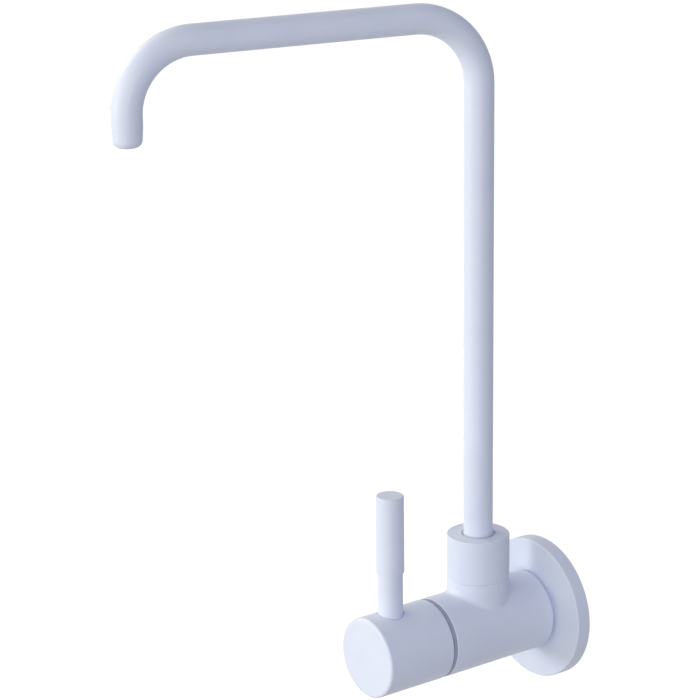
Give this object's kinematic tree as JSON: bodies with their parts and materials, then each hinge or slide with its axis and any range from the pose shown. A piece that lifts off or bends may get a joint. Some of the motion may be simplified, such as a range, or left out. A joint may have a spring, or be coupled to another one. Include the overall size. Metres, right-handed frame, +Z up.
{
  "type": "reverse osmosis faucet",
  "caption": "Wall-mounted drinking-water faucet: a level valve opened by turning an upright lever, under a tall swivelling spout tube bent into an upside-down U.",
  "frame": {"origin": "centre of the flange's back face, on the inlet axis, in the plane of the finished wall", "axes": "+Y runs into the wall along the inlet, -Y towards the user, +Z up, +X to the user's right"},
  "size_m": [0.0716, 0.2098, 0.3081],
  "materials": {
    "white_paint": "smooth satin-gloss white coating",
    "brass": "turned, bare",
    "stainless": "turned, bare",
    "rubber": "moulded, matt",
    "foam": "closed-cell foam, pale grey",
    "grey_plastic": "moulded, grey",
    "natural_plastic": "moulded, natural acetal",
    "ceramic": "lapped alumina"
  },
  "bodies": {
    "valve": {"valve_body": "white_paint", "wall_flange": "white_paint", "flange_gasket": "foam", "flange_oring": "rubber", "inlet_nipple": "stainless", "nipple_washer": "rubber", "cartridge_housing": "brass", "cartridge_oring": "rubber", "seat_seal": "rubber", "fixed_disc": "ceramic", "groove_ring": "grey_plastic", "spout_nut": "white_paint", "guide_bush": "natural_plastic", "spout_washers": "natural_plastic"},
    "handle": {"handle_hub": "white_paint", "lever": "white_paint", "lever_stud": "stainless", "hub_grub_screw": "stainless", "spline_insert": "natural_plastic", "spindle": "brass", "spindle_orings": "rubber", "spindle_washer": "natural_plastic", "spindle_clip": "stainless", "moving_disc": "ceramic"},
    "spout": {"spout_tube": "white_paint", "spout_ferrule": "brass", "spout_orings": "rubber"}
  },
  "joints": [
    {"name": "handle_turn", "type": "hinge", "parent": "valve", "child": "handle", "pos_m": [0, -0.06, 0], "axis": [0, -1, 0], "range_deg": [0, 90]},
    {"name": "spout_swivel", "type": "hinge", "parent": "valve", "child": "spout", "pos_m": [0, -0.0374, 0], "axis": [0, 0, 1], "range_deg": [-86, 110]}
  ]
}
